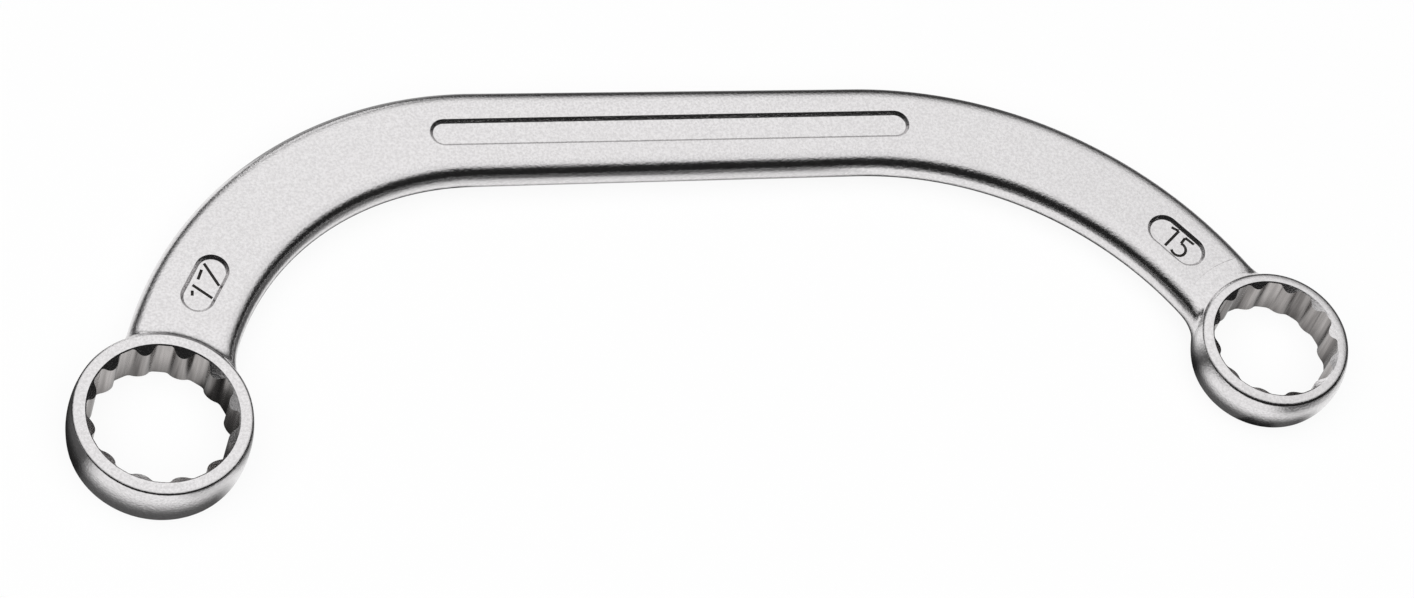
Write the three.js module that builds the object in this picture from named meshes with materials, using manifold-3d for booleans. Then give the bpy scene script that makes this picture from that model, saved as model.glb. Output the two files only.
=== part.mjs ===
// Half-moon ring spanner: two 12-point rings joined by a flat shank that bends round in an arch.
// Millimetres, +Z up. The plan is drawn with the straight bar along X, its middle at the origin,
// and the finished tool is moved so that it stands on Z = 0 with its outline centred on the origin.
import * as THREE from "three";
import { mergeVertices } from "three/addons/utils/BufferGeometryUtils.js";
import Module from "manifold-3d";

// Openings: nominal width across the flats of the nut, and what is added so that the ring slips on.
const LARGE_NUT = 17;
const SMALL_NUT = 15;
const NUT_CLEARANCE = 0.1;
const GROOVE_ROUNDING = 0.25; // how far the rounding takes off each groove's sharp corner
const LARGE_TURN = 8.2; // degrees from +X to the first ridge of the large opening
const SMALL_TURN = 5.8;

// Lead-in chamfer at both mouths of an opening.
const MOUTH_RELIEF = 0.2; // mouth radius beyond the grooves
const MOUTH_DEPTH = 0.75; // depth at which the chamfer runs out on the ridges

// Ring bodies.
const LARGE_HEIGHT = 7.5;
const SMALL_HEIGHT = 7.0;
const LARGE_RIM = 1.4; // flat rim outside the mouth
const SMALL_RIM = 1.15;
const RING_SWELL = 0.6; // how far the barrel-shaped flank stands out beyond the rim
const RIM_ROUNDING = 0.3;

// Shank: a straight bar and two arms, each bent to an arc that ends at its ring.
const BAR_LENGTH = 53;
const LARGE_BEND_RADIUS = 44.1;
const LARGE_BEND_ANGLE = 86.65;
const LARGE_OUTSET = 1.6; // ring centre outside the arm's centreline
const SMALL_BEND_RADIUS = 55.6;
const SMALL_BEND_ANGLE = 68.8;
const SMALL_OUTSET = 1.1;
const SHANK_HEIGHT = 5.25;
const EDGE_ROUNDING = 2.4;
const LARGE_NECK_WIDTH = 14.7;
const LARGE_BAR_WIDTH = 13.4;
const SMALL_BAR_WIDTH = 12.65;
const SMALL_NECK_WIDTH = 12.1;

// Hollows in plan where an arm's edge runs into its ring.
const LARGE_OUTER_FILLET = 5;
const LARGE_INNER_FILLET = 10;
const SMALL_OUTER_FILLET = 5;
const SMALL_INNER_FILLET = 6;
const NECK_REACH = 15.6; // along the arm from the ring centre to the plane that ends its head

// Sunk places, the same on both faces.
const SLOT_WIDTH = 4;
const SLOT_DEPTH = 0.55;
const SLOT_LARGE_OVERRUN = 5.85; // slot end beyond the straight bar, at the large arm
const SLOT_SMALL_OVERRUN = 7.25;
const PANEL_LENGTH = 9;
const PANEL_WIDTH = 4.6;
const PANEL_DEPTH = 0.55;
const LARGE_PANEL_REACH = 20.5; // along the arm from the ring centre to the size panel's middle
const SMALL_PANEL_REACH = 19.3;

// Fineness of the round shapes, and how far a cutter stands past what it cuts.
const RIDGES = 12;
const RING_SEGMENTS = 72;
const FLANK_STEPS = 8;
const ARM_STEPS = 22;
const FILLET_STEPS = 7;
const ROUNDING_STEPS = 5;
const END_STEPS = 14;
const OVERCUT = 1;

const SATIN_CHROME = { color: 0xd6d5d2, metalness: 1, roughness: 0.32 };

const radians = THREE.MathUtils.degToRad;
const polar = (radius, angle) => new THREE.Vector2(Math.cos(angle), Math.sin(angle)).multiplyScalar(radius);

const wasm = await Module();
wasm.setup();

// A closed solid from a geometry that may be indexed or loose, with its corners joined.
function solid(geometry) {
  const bare = geometry.index ? geometry.toNonIndexed() : geometry.clone();
  bare.deleteAttribute("normal");
  bare.deleteAttribute("uv");
  const joined = mergeVertices(bare, 1e-4);
  const corners = joined.index.array;
  const faces = [];
  for (let i = 0; i < corners.length; i += 3) {
    const [a, b, c] = corners.subarray(i, i + 3);
    if (a !== b && b !== c && c !== a) faces.push(a, b, c);
  }
  return new wasm.Manifold(new wasm.Mesh({
    numProp: 3,
    vertProperties: new Float32Array(joined.attributes.position.array),
    triVerts: new Uint32Array(faces),
  }));
}

function geometryOf(body) {
  const mesh = body.getMesh();
  const geometry = new THREE.BufferGeometry();
  geometry.setAttribute("position", new THREE.BufferAttribute(mesh.vertProperties, 3));
  geometry.setIndex(new THREE.BufferAttribute(mesh.triVerts, 1));
  return geometry.toNonIndexed();
}

// Points along a circle, going the short way round from one angle to another.
function arc(centre, radius, from, to, steps) {
  const sweep = Math.atan2(Math.sin(to - from), Math.cos(to - from));
  const points = [];
  for (let i = 0; i <= steps; i += 1) points.push(polar(radius, from + sweep * i / steps).add(centre));
  return points;
}

function angleFrom(centre, point) {
  return Math.atan2(point.y - centre.y, point.x - centre.x);
}

// The point at the two given distances from two centres, on the left of the line from a to b.
function twoCircles(a, aRadius, b, bRadius) {
  const along = b.clone().sub(a);
  const gap = along.length();
  const foot = (aRadius ** 2 - bRadius ** 2 + gap ** 2) / (2 * gap);
  const rise = Math.sqrt(Math.max(aRadius ** 2 - foot ** 2, 0));
  const across = new THREE.Vector2(-along.y, along.x);
  return a.clone().addScaledVector(along, foot / gap).addScaledVector(across, rise / gap);
}

// Arms are laid out on the +X end of the bar and mirrored for the other end.
function arm(side, nut, sizes) {
  const groove = (nut + NUT_CLEARANCE) / 2 / Math.cos(Math.PI / 6);
  const ridge = (nut + NUT_CLEARANCE) / 2 / Math.cos(Math.PI / 12);
  const mouth = groove + MOUTH_RELIEF;
  const rimRadius = mouth + sizes.rim;
  const bendCentre = new THREE.Vector2(BAR_LENGTH / 2, -sizes.bendRadius);
  const ringAngle = Math.PI / 2 - radians(sizes.bendAngle);
  const ringCentre = polar(sizes.bendRadius + sizes.outset, ringAngle).add(bendCentre);
  return { side, groove, ridge, mouth, rimRadius, bendCentre, ringAngle, ringCentre,
    ringRadius: rimRadius + RING_SWELL, ...sizes };
}

// Place and heading of a point on an arm's centreline, reach away from its ring centre.
function onArm(a, reach) {
  const angle = a.ringAngle + reach / a.bendRadius;
  const place = polar(a.bendRadius, angle).add(a.bendCentre);
  return { x: a.side * place.x, y: place.y, heading: a.side * (angle - Math.PI / 2) };
}

// One long edge of an arm: an arc that leaves the bar along X and reaches the neck's width at the ring.
function armEdge(a, sign) {
  const start = new THREE.Vector2(BAR_LENGTH / 2, sign * a.barWidth / 2);
  const end = polar(a.bendRadius + sign * a.neckWidth / 2, a.ringAngle).add(a.bendCentre);
  const radius = start.distanceToSquared(end) / (2 * (start.y - end.y));
  return { centre: new THREE.Vector2(start.x, start.y - radius), radius };
}

// Outline of an arm from the outer end of the bar round through the ring's middle to the inner end.
function armOutline(a) {
  const outer = armEdge(a, 1);
  const inner = armEdge(a, -1);
  const outerHollow = twoCircles(outer.centre, outer.radius + a.outerFillet,
    a.ringCentre, a.ringRadius + a.outerFillet);
  const innerHollow = twoCircles(inner.centre, inner.radius - a.innerFillet,
    a.ringCentre, a.ringRadius + a.innerFillet);
  const outerTouch = angleFrom(outer.centre, outerHollow);
  const innerTouch = angleFrom(inner.centre, innerHollow);
  return [
    ...arc(outer.centre, outer.radius, Math.PI / 2, outerTouch, ARM_STEPS),
    ...arc(outerHollow, a.outerFillet, outerTouch + Math.PI, angleFrom(outerHollow, a.ringCentre),
      FILLET_STEPS).slice(1),
    a.ringCentre.clone(),
    ...arc(innerHollow, a.innerFillet, angleFrom(innerHollow, a.ringCentre), innerTouch, FILLET_STEPS),
    ...arc(inner.centre, inner.radius, innerTouch, Math.PI / 2, ARM_STEPS).slice(1),
  ];
}

function shankPlate(large, small) {
  const mirrored = armOutline(large).map((p) => new THREE.Vector2(-p.x, p.y)).reverse();
  const outline = new THREE.Shape([...armOutline(small), ...mirrored]);
  const plate = new THREE.ExtrudeGeometry(outline, {
    depth: SHANK_HEIGHT - 2 * EDGE_ROUNDING,
    bevelEnabled: true,
    bevelSize: EDGE_ROUNDING,
    bevelThickness: EDGE_ROUNDING,
    bevelOffset: -EDGE_ROUNDING,
    bevelSegments: ROUNDING_STEPS,
    steps: 1,
  });
  return solid(plate.translate(0, 0, EDGE_ROUNDING - SHANK_HEIGHT / 2));
}

// A solid turned about the ring's axis from points of radius and height.
function turned(points) {
  return new THREE.LatheGeometry(points, RING_SEGMENTS).rotateX(Math.PI / 2);
}

function ringBlank(a) {
  const top = a.height / 2;
  const profile = [new THREE.Vector2(0, -top), new THREE.Vector2(a.rimRadius - RIM_ROUNDING, -top)];
  const flank = top - RIM_ROUNDING;
  for (let i = 0; i <= FLANK_STEPS; i += 1) {
    const share = 2 * i / FLANK_STEPS - 1;
    profile.push(new THREE.Vector2(a.ringRadius - RING_SWELL * share ** 2, flank * share));
  }
  profile.push(new THREE.Vector2(a.rimRadius - RIM_ROUNDING, top), new THREE.Vector2(0, top));
  return turned(profile);
}

// Twelve ridges with rounded grooves between them, as two hexagons laid over each other.
function twelvePoint(a) {
  const outline = new THREE.Shape();
  const step = 2 * Math.PI / RIDGES;
  const first = radians(a.turn);
  for (let i = 0; i < RIDGES; i += 1) {
    const here = polar(a.ridge, first + i * step);
    const corner = polar(a.groove, first + (i + 0.5) * step);
    const next = polar(a.ridge, first + (i + 1) * step);
    const ease = 4 * GROOVE_ROUNDING / here.distanceTo(corner);
    const enter = corner.clone().lerp(here, ease);
    const leave = corner.clone().lerp(next, ease);
    if (i === 0) outline.moveTo(here.x, here.y);
    outline.lineTo(enter.x, enter.y);
    outline.quadraticCurveTo(corner.x, corner.y, leave.x, leave.y);
    outline.lineTo(next.x, next.y);
  }
  const depth = a.height + 2 * OVERCUT;
  const bore = new THREE.ExtrudeGeometry(outline, { depth, bevelEnabled: false, curveSegments: 3 });
  return bore.translate(0, 0, -depth / 2);
}

// A cone that breaks the edge of the opening at the top of the ring.
function mouthCone(a) {
  const slope = (a.mouth - a.ridge) / MOUTH_DEPTH;
  const top = a.height / 2 + OVERCUT;
  const bottom = a.height / 2 - MOUTH_DEPTH - OVERCUT;
  const wide = a.mouth + slope * OVERCUT;
  const narrow = Math.max(a.ridge - slope * OVERCUT, OVERCUT);
  return turned([
    new THREE.Vector2(0, bottom), new THREE.Vector2(narrow, bottom),
    new THREE.Vector2(wide, top), new THREE.Vector2(0, top),
  ]);
}

function stadium(length, width) {
  const half = (length - width) / 2;
  const outline = new THREE.Shape();
  outline.absarc(half, 0, width / 2, -Math.PI / 2, Math.PI / 2);
  outline.absarc(-half, 0, width / 2, Math.PI / 2, 3 * Math.PI / 2);
  return outline.closePath();
}

// A round-ended recess sunk alike into both faces of the shank.
function recesses(length, width, depth, place) {
  const sunk = { depth: depth + OVERCUT, bevelEnabled: false, curveSegments: END_STEPS / 2 };
  const floor = SHANK_HEIGHT / 2 - depth;
  const upper = new THREE.ExtrudeGeometry(stadium(length, width), sunk).translate(0, 0, floor);
  const lower = upper.clone().rotateX(Math.PI);
  const [above, below] = [upper, lower].map(
    (cut) => solid(cut.rotateZ(place.heading).translate(place.x, place.y, 0)));
  return above.add(below);
}

// The block that parts a ring head from the shank, with one face across the neck.
function headBlock(a) {
  const size = 5 * a.ringRadius;
  const neck = onArm(a, NECK_REACH);
  const block = new THREE.BoxGeometry(size, size, size).translate(a.side * size / 2, 0, 0);
  return solid(block.rotateZ(neck.heading).translate(neck.x, neck.y, 0));
}

const large = arm(-1, LARGE_NUT, {
  height: LARGE_HEIGHT, rim: LARGE_RIM, turn: LARGE_TURN,
  bendRadius: LARGE_BEND_RADIUS, bendAngle: LARGE_BEND_ANGLE, outset: LARGE_OUTSET,
  barWidth: LARGE_BAR_WIDTH, neckWidth: LARGE_NECK_WIDTH,
  outerFillet: LARGE_OUTER_FILLET, innerFillet: LARGE_INNER_FILLET, panelReach: LARGE_PANEL_REACH,
});
const small = arm(1, SMALL_NUT, {
  height: SMALL_HEIGHT, rim: SMALL_RIM, turn: SMALL_TURN,
  bendRadius: SMALL_BEND_RADIUS, bendAngle: SMALL_BEND_ANGLE, outset: SMALL_OUTSET,
  barWidth: SMALL_BAR_WIDTH, neckWidth: SMALL_NECK_WIDTH,
  outerFillet: SMALL_OUTER_FILLET, innerFillet: SMALL_INNER_FILLET, panelReach: SMALL_PANEL_REACH,
});

let forging = shankPlate(large, small);
for (const a of [large, small]) {
  const seat = (geometry) => solid(geometry.translate(a.side * a.ringCentre.x, a.ringCentre.y, 0));
  forging = forging.add(seat(ringBlank(a)));
  forging = forging.subtract(seat(twelvePoint(a)));
  forging = forging.subtract(seat(mouthCone(a))).subtract(seat(mouthCone(a).rotateX(Math.PI)));
  forging = forging.subtract(recesses(PANEL_LENGTH, PANEL_WIDTH, PANEL_DEPTH, onArm(a, a.panelReach)));
}
const slotMiddle = { x: (SLOT_SMALL_OVERRUN - SLOT_LARGE_OVERRUN) / 2, y: 0, heading: 0 };
const slotLength = BAR_LENGTH + SLOT_LARGE_OVERRUN + SLOT_SMALL_OVERRUN;
forging = forging.subtract(recesses(slotLength, SLOT_WIDTH, SLOT_DEPTH, slotMiddle));

const largeBlock = headBlock(large);
const smallBlock = headBlock(small);
const zones = {
  ring_head_17: forging.intersect(largeBlock),
  shank: forging.subtract(largeBlock).subtract(smallBlock),
  ring_head_15: forging.intersect(smallBlock),
};

const spanner = new THREE.Group();
for (const [name, body] of Object.entries(zones)) {
  const mesh = new THREE.Mesh(geometryOf(body), new THREE.MeshStandardMaterial(SATIN_CHROME));
  mesh.name = name;
  spanner.add(mesh);
}
const bounds = new THREE.Box3().setFromObject(spanner);
const middle = bounds.getCenter(new THREE.Vector3());
spanner.position.set(-middle.x, -middle.y, -bounds.min.z);

export default spanner;
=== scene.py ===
"""A half-moon ring spanner for nuts of 17 and 15 mm, one satin chrome forging in a plain studio."""

from math import asin, atan2, ceil, cos, pi, radians, sin, sqrt, tan

import bmesh
import bpy
from bpy.props import FloatProperty, FloatVectorProperty, PointerProperty
from mathutils import Matrix, Vector


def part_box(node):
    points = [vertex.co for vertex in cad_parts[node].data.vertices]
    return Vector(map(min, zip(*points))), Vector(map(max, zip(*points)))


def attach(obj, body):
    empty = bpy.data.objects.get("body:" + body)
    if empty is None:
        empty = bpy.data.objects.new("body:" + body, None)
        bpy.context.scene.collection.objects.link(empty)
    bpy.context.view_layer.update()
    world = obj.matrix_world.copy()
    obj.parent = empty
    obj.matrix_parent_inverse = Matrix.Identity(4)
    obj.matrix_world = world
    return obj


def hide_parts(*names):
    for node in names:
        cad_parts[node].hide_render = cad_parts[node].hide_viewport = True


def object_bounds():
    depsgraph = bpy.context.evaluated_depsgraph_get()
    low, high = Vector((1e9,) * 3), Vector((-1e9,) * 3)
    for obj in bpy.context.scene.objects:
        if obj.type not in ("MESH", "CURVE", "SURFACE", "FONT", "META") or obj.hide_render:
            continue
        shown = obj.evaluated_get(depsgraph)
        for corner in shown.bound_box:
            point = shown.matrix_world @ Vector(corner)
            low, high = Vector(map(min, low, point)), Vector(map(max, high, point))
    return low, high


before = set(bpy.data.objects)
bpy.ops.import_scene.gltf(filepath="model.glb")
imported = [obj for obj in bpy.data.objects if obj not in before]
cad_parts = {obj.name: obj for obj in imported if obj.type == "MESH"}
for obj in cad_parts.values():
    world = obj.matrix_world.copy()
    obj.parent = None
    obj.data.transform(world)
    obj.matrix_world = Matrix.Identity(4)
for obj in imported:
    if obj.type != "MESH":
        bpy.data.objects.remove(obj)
cad_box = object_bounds()

bl_info = {
    "name": "Half-moon ring spanner",
    "version": (1, 0, 0),
    "blender": (4, 5, 0),
    "location": "View3D > Sidebar > Spanner",
    "description": "Builds a double-ended half-moon ring spanner and its studio",
    "category": "Object",
}

NODES = ("ring_head_17", "shank", "ring_head_15")
MM = 0.001
UP = Vector((0, 0, 1))
ALONG_Y = Vector((0, 1, 0))
RIDGES = 12
SENSOR_WIDTH = 36

# The upper and the lower face, and the places of the three finishes and of the painted shade in the
# marks' strokes
WAYS = (1, -1)
SATIN, GROUND, BROACHED, MARK_SHADE = range(4)

# How finely curves are cut, and how close two vertices are one
RING_STEPS = 216
EDGE_STEPS = 14
RIM_STEPS = 8
WAVE_STEPS = 5
FILLET_STEPS = 4
CHORD = 0.45 * MM
FINE_CHORD = 0.12 * MM
SAME_PLACE = 1e-7

# How far the cutters reach past the metal
OVERCUT = 1.0 * MM
MOUTH_OVERCUT = 0.3 * MM
LIP_OVERCUT = 0.5 * MM
FACING_REACH = 3 * MM
FACING_DROP = 0.2 * MM

# On a rim's rounding, from upright: where the ring's side starts, and where the facing cutter ends
RIM_MEETS_SIDE = radians(64)
RIM_RUNS_OUT = radians(76)

# The least angle of a sharp edge, and the rise of a mark's cutter as a share of its radius
SHARP_EDGE = radians(32)
STROKE_LIFT = 0.15

# How the forged skin is smoothed: all over, and in the band where an arm meets its ring
SKIN_PASSES = 3
NECK_PASSES = 8
NECK_BAND = (-0.9 * MM, 1.6 * MM)
NECK_DEPTH = 0.6 * MM

# Patterns of the finishes: lumps to the metre, contrast, shares of the tone and of the roughness
GRAIN_LUMPS = 2700
CLOUD_LUMPS = 150
BAND_LUMPS = 420
STREAK_LUMPS = 1500
GRAIN_CONTRAST = (0.3, 0.7)
BAND_CONTRAST = (0.36, 0.64)
CHROME_TONE = (0.8, 0.2)
BROACH_TONE = (0.6, 0.3, 0.1)
BROACH_DRAW = (1, 1, 0.05)
BROACH_HEIGHT = 0.03 * MM
GROUND_GRAIN = 0.6
GRAIN_ROUGHENS = 0.1
CLOUD_ROUGHENS = 0.06
BROACH_ROUGHENS = 0.15

# The softbox's layers: share of the key light, then reach to the front, rear, left and right
SOFTBOX = ((0.10, 0.20, 0.85, 1.00, 0.06), (0.30, 0.25, 0.95, 1.20, 0.50),
           (0.30, 0.40, 1.40, 1.70, 0.75), (0.30, 0.55, 3.30, 3.40, 1.10))
OVAL = 1.12
SOFTBOX_HEIGHT = 0.7
LAYER_GAP = 0.01

# The other lamps and the two level sheets, in metres
EDGE_LAMP_SIZE = (0.5, 0.34)
EDGE_LAMP_AWAY = 1.2
EDGE_LAMP_HEIGHT = 0.19
FILL_SIZE = (5, 5)
FILL_HEIGHT = 2.4
FILL_FORWARD = 1.2
FLOOR_HALF, FLOOR_DEPTH = 4, 0.02 * MM
# The shade card is painted shade: a dark sheet over the floor, seen only in the metal, that darkens
# the mirrored floor
CARD_HALF, CARD_DEPTH = 2, 0.01 * MM
CARD_COLOUR = (0.01, 0.01, 0.01, 1)

# Where the shade card's painted shade fades along the shank: counted from the shank's own edges and
# the bar's ends, but for the court and the fronts, which are plain X and Y, and the gap, from its
# middle
LARGE_ARM_STARTS = (-2 * MM, 2 * MM)
SMALL_ARM_STARTS = (-8 * MM, 4 * MM)
BAR_STRIP = (-16 * MM, 1 * MM)
BAR_FOOT = (-1 * MM, 0)
BAR_FOOT_DIMS = 0.7
ARM_STRIP = {-1: (-6 * MM, -2 * MM), 1: (-22 * MM, -11 * MM)}
ARM_FOOT = (-1.2 * MM, -0.3 * MM)
ARM_FOOT_ENDS = (3 * MM, 5 * MM)
ARM_FOOT_FRONT = (-25 * MM, -22 * MM)
COURT_LEFT = (-66 * MM, -58 * MM)
COURT_RIGHT = (50 * MM, 60 * MM)
COURT_FRONT = (-32 * MM, -24 * MM)
BEYOND = (5 * MM, 13 * MM)
BEYOND_FRONT = (-16 * MM, -8 * MM)
GAP_EDGE = (26 * MM, 50 * MM)

# Where its painted shade fades round a ring: by the cosine from its bright patch, or counted from
# ring or mouth, but for the rear of the far floor, which is plain Y
PATCH_SIDES = (-0.1, 0.1)
RIGHT_REAR = (-0.9, -0.7)
RIGHT_FRONT = (0.35, 0.75)
RIGHT_STARTS = (2 * MM, 11 * MM)
LEFT_REAR = {-1: (-0.6, -0.3), 1: (0.5, 0.8)}
LEFT_FRONT = (0.82, 0.98)
ROUND_ENDS = (20 * MM, 60 * MM)
MOUTH_OUTSIDE = (-0.8 * MM, 0.4 * MM)
MOUTH_INSIDE = (-3.2 * MM, -0.6 * MM)
UNDER_ENDS = (0.8 * MM, 4.5 * MM)
UNDER_FRONT = (-0.15, 0.3)
FAR_STARTS = (25 * MM, 80 * MM)
FAR_REAR = (-30 * MM, -15 * MM)


def length(name, description, millimetres):
    """A length property whose default is given in millimetres."""
    return FloatProperty(name=name, description=description, default=millimetres * MM,
                         precision=5, unit="LENGTH")


def angle(name, description, degrees):
    """An angle property whose default is given in degrees."""
    return FloatProperty(name=name, description=description, default=radians(degrees),
                         unit="ROTATION")


def share(name, description, default):
    """A plain number between nothing and one."""
    return FloatProperty(name=name, description=description, default=default, min=0, max=1,
                         subtype="FACTOR")


def colour(name, description, default):
    """A colour property."""
    return FloatVectorProperty(name=name, description=description, default=default, size=3,
                               min=0, max=1, subtype="COLOR")


class LargeEnd(bpy.types.PropertyGroup):
    """Sizes of the large ring and of the arm that carries it."""

    nut: length("Nut", "Width across flats of the nut", 17)
    turn: angle("Turn", "Angle of the first ridge of the opening", 8.2)
    ring: length("Ring", "Outside radius of the ring", 12.073)
    height: length("Height", "Height of the ring from rim to rim", 7.5)
    mouth: length("Mouth", "Radius of the mouth at the rim", 10.04)
    mouth_depth: length("Mouth depth", "How deep the mouth cuts into the ridges", 1.0)
    rim: length("Rim", "Width of the rim outside the mouth", 1.2)
    crown: angle("Crown", "How far the rim leans outwards at its outer edge", 1.5)
    rim_rounding: length("Rim rounding", "Radius of the rim's outer edge", 0.62)
    bend_radius: length("Bend radius", "Radius of the arm's middle line", 44.1)
    bend_angle: angle("Bend angle", "How far the arm bends round", 86.65)
    outset: length("Outset", "How far the ring stands outside the arm's middle line", 1.6)
    neck_width: length("Neck width", "Width of the arm at the ring", 14.7)
    bar_width: length("Bar width", "Width of the bar at this end", 13.4)
    outer_fillet: length("Outer fillet", "Radius of the hollow outside the neck", 5)
    inner_fillet: length("Inner fillet", "Radius of the hollow inside the neck", 10)
    panel_reach: length("Panel reach", "From the ring to the size panel, along the arm", 20.5)
    panel_offset: length("Panel offset", "From the arm's middle line out to the panel", 0)
    slot_overrun: length("Slot overrun", "How far the slot runs past the bar's end", 5.85)


class SmallEnd(bpy.types.PropertyGroup):
    """Sizes of the small ring and of the arm that carries it."""

    nut: length("Nut", "Width across flats of the nut", 15)
    turn: angle("Turn", "Angle of the first ridge of the opening", 5.8)
    ring: length("Ring", "Outside radius of the ring", 10.668)
    height: length("Height", "Height of the ring from rim to rim", 7)
    mouth: length("Mouth", "Radius of the mouth at the rim", 8.75)
    mouth_depth: length("Mouth depth", "How deep the mouth cuts into the ridges", 0.7)
    rim: length("Rim", "Width of the rim outside the mouth", 0.9)
    crown: angle("Crown", "How far the rim leans outwards at its outer edge", 15)
    rim_rounding: length("Rim rounding", "Radius of the rim's outer edge", 0.9)
    bend_radius: length("Bend radius", "Radius of the arm's middle line", 55.6)
    bend_angle: angle("Bend angle", "How far the arm bends round", 68.8)
    outset: length("Outset", "How far the ring stands outside the arm's middle line", 1.1)
    neck_width: length("Neck width", "Width of the arm at the ring", 12.1)
    bar_width: length("Bar width", "Width of the bar at this end", 12.65)
    outer_fillet: length("Outer fillet", "Radius of the hollow outside the neck", 5)
    inner_fillet: length("Inner fillet", "Radius of the hollow inside the neck", 6)
    panel_reach: length("Panel reach", "From the ring to the size panel, along the arm", 19.2)
    panel_offset: length("Panel offset", "From the arm's middle line out to the panel", -0.15)
    slot_overrun: length("Slot overrun", "How far the slot runs past the bar's end", 7.25)


class Forging(bpy.types.PropertyGroup):
    """Sizes that both ends share."""

    clearance: length("Clearance", "How much wider an opening is than its nut", 0.1)
    wave: length("Wave", "How far the roundings of the bore run along its sides", 0.38)
    ridge_lean: length("Ridge lean", "How far a ridge falls back before its flanks", 0.27)
    ridge_spread: angle("Ridge spread", "From the middle of a ridge to its flank", 5)
    groove_spread: angle("Groove spread", "From the middle of a ridge to the foot of its flank",
                         8.5)
    groove_inset: length("Groove inset", "How far the grooves lie inside the mouth", 0.12)
    bar_length: length("Bar length", "Length of the straight bar", 53)
    shank_height: length("Shank height", "Thickness of the shank", 5.25)
    edge_rounding: length("Edge rounding", "Radius along the edges of the shank", 2.4)
    slot_width: length("Slot width", "Width of the long slot", 4)
    slot_depth: length("Slot depth", "Depth of the long slot", 0.55)
    slot_offset: length("Slot offset", "How far the slot lies inside the bar's middle line", 0.16)
    panel_length: length("Panel length", "Length of a size panel", 9)
    panel_width: length("Panel width", "Width of a size panel", 4.6)
    panel_depth: length("Panel depth", "Depth of a size panel", 0.55)
    draft: angle("Draft", "Slope of the walls of a recess", 52)
    floor_fillet: length("Floor fillet", "Radius round the floor of a recess", 0.2)
    lip_rounding: length("Lip rounding", "Radius of a recess's upper edge", 0.07)
    stroke: length("Stroke", "Half the width of the strokes of a size mark", 0.21)
    grain_pitch: length("Grain pitch", "Mesh size of the forged skin", 0.34)


class Finish(bpy.types.PropertyGroup):
    """Colours and gloss of the chrome."""

    light: colour("Light chrome", "Colour of the chrome at its brightest", (0.85, 0.835, 0.84))
    dark: colour("Dark chrome", "Colour of the chrome in the grain", (0.66, 0.645, 0.65))
    bore: colour("Bore", "Colour of the broached steel in the openings", (0.5, 0.475, 0.465))
    bore_dark: colour("Dark bore", "Colour of the broach's streaks", (0.07, 0.064, 0.062))
    # Painted shade: the strokes are real grooves, and this dark colour paints in the shade that
    # falls in them
    mark: colour("Mark", "Colour of the etched size marks", (0.05, 0.047, 0.045))
    satin: share("Satin roughness", "Roughness of the blasted skin", 0.19)
    machined: share("Machined roughness", "Roughness of the ground rims", 0.17)
    broached: share("Broached roughness", "Roughness of the bores", 0.26)
    shade_painted: share("Etched roughness", "Roughness of the size marks", 0.45)
    grain: length("Grain", "Height of the blasted grain", 0.04)


class Studio(bpy.types.PropertyGroup):
    """The photograph's view and light."""

    lens: FloatProperty(name="Lens", description="Focal length on a 36 mm wide sensor",
                        default=154.483, unit="CAMERA")
    distance: length("Distance", "From the camera to the point it aims at", 805.62)
    heading: angle("Heading", "Way the camera looks, from +Y towards +X", 27.328)
    elevation: angle("Elevation", "Angle of the camera above the floor", 58.963)
    roll: angle("Roll", "Turn of the camera about its own axis", 22.373)
    aim: FloatVectorProperty(name="Aim", description="Point that the camera aims at", size=3,
                             default=(-0.303 * MM, -1.558 * MM, 3.75 * MM), subtype="XYZ",
                             unit="LENGTH", precision=5)
    floor: colour("Floor", "Colour of the floor", (0.9, 0.9, 0.9))
    glow: share("Glow", "Share of plain white in the floor as it is seen", 0.9)
    key: share("Key", "Strength of the softbox", 1.0)
    fill: FloatProperty(name="Fill", description="Strength of the light that only the floor shows",
                        default=2.2, min=0)
    # The shade card paints shade and contact shadow into the floor that the metal mirrors: how
    # dark, and where it stays open
    shade: share("Shade", "How dark the shade card makes the floor in the metal", 0.9)
    gap: angle("Gap", "Where the floor beyond the large arm is bright, from +X", 122)
    edge: angle("Edge light", "Heading of the low lamp that lights the large bend's outer edge",
                96)
    large_patch: angle("Large patch", "Bright floor at the large ring, from the viewer's side", -11)
    small_patch: angle("Small patch", "Bright floor at the small ring, from the viewer's side", -26)
    room: colour("Room", "Colour of the dark room round the softbox", (0.016, 0.016, 0.016))


def heading_vector(turn):
    """The level unit vector at an angle from +X."""
    return Vector((cos(turn), sin(turn), 0))


def leaning(tilt):
    """The unit vector that leans from upright towards +X."""
    return Vector((sin(tilt), 0, cos(tilt)))


def bearing(start, end):
    """The angle from +X of the way from one point to another."""
    return atan2(end.y - start.y, end.x - start.x)


def short_way(start, end):
    """The signed angle from one bearing to another, the short way round."""
    return (end - start + pi) % (2 * pi) - pi


def mirrored(point, side):
    """The point itself, or its mirror image across the middle of the bar for side -1."""
    return Vector((side * point.x, point.y, point.z))


def meeting(a, a_radius, b, b_radius):
    """Where two circles cross, on the left of the way from a to b."""
    way = b - a
    along = (way.length_squared + a_radius ** 2 - b_radius ** 2) / (2 * way.length)
    off = sqrt(a_radius ** 2 - along ** 2)
    way.normalize()
    return a + way * along + UP.cross(way) * off


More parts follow.
